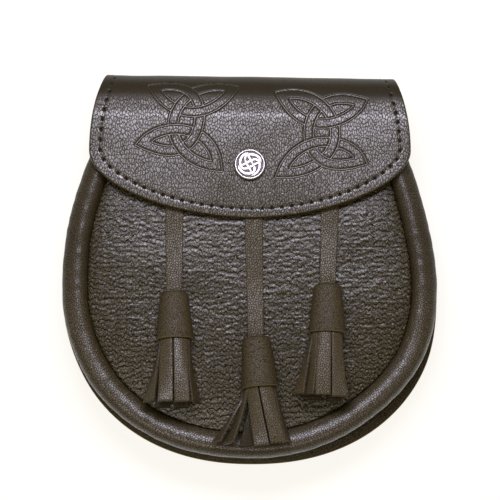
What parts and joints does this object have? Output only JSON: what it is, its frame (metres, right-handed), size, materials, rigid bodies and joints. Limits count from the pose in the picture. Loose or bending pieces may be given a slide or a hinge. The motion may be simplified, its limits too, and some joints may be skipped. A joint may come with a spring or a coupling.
{
  "type": "sporran pouch",
  "caption": "Pear-shaped leather pouch worn on the front of a kilt, with a rolled edge, a folded flap held by a press stud, and hanging leather tassels.",
  "frame": {"origin": "middle of the outline, on the surface that the pouch lies on", "axes": "+X to the right seen from the front, +Y towards the fold of the flap, which is up when worn, +Z out of the front"},
  "size_m": [0.18, 0.185, 0.04],
  "materials": {
    "flap_leather": "pebbled, satin, with a pressed interlace",
    "grain_leather": "milled grain, satin",
    "smooth_leather": "fine grain, satin",
    "back_leather": "plain, matt",
    "antique_silver": "cast, polished on top and dark in the recesses"
  },
  "bodies": {
    "root": {"back_panel": "back_leather", "belt_loop": "back_leather", "gusset": "smooth_leather", "edge_roll": "smooth_leather", "front_panel": "grain_leather", "flap": "flap_leather", "stud": "antique_silver", "stud_base": "antique_silver", "tassel_strap_left": "grain_leather", "tassel_bell_left": "smooth_leather", "tassel_fringe_left": "smooth_leather", "tassel_strap_middle": "grain_leather", "tassel_bell_middle": "smooth_leather", "tassel_fringe_middle": "smooth_leather", "tassel_strap_right": "grain_leather", "tassel_bell_right": "smooth_leather", "tassel_fringe_right": "smooth_leather"}
  },
  "joints": []
}
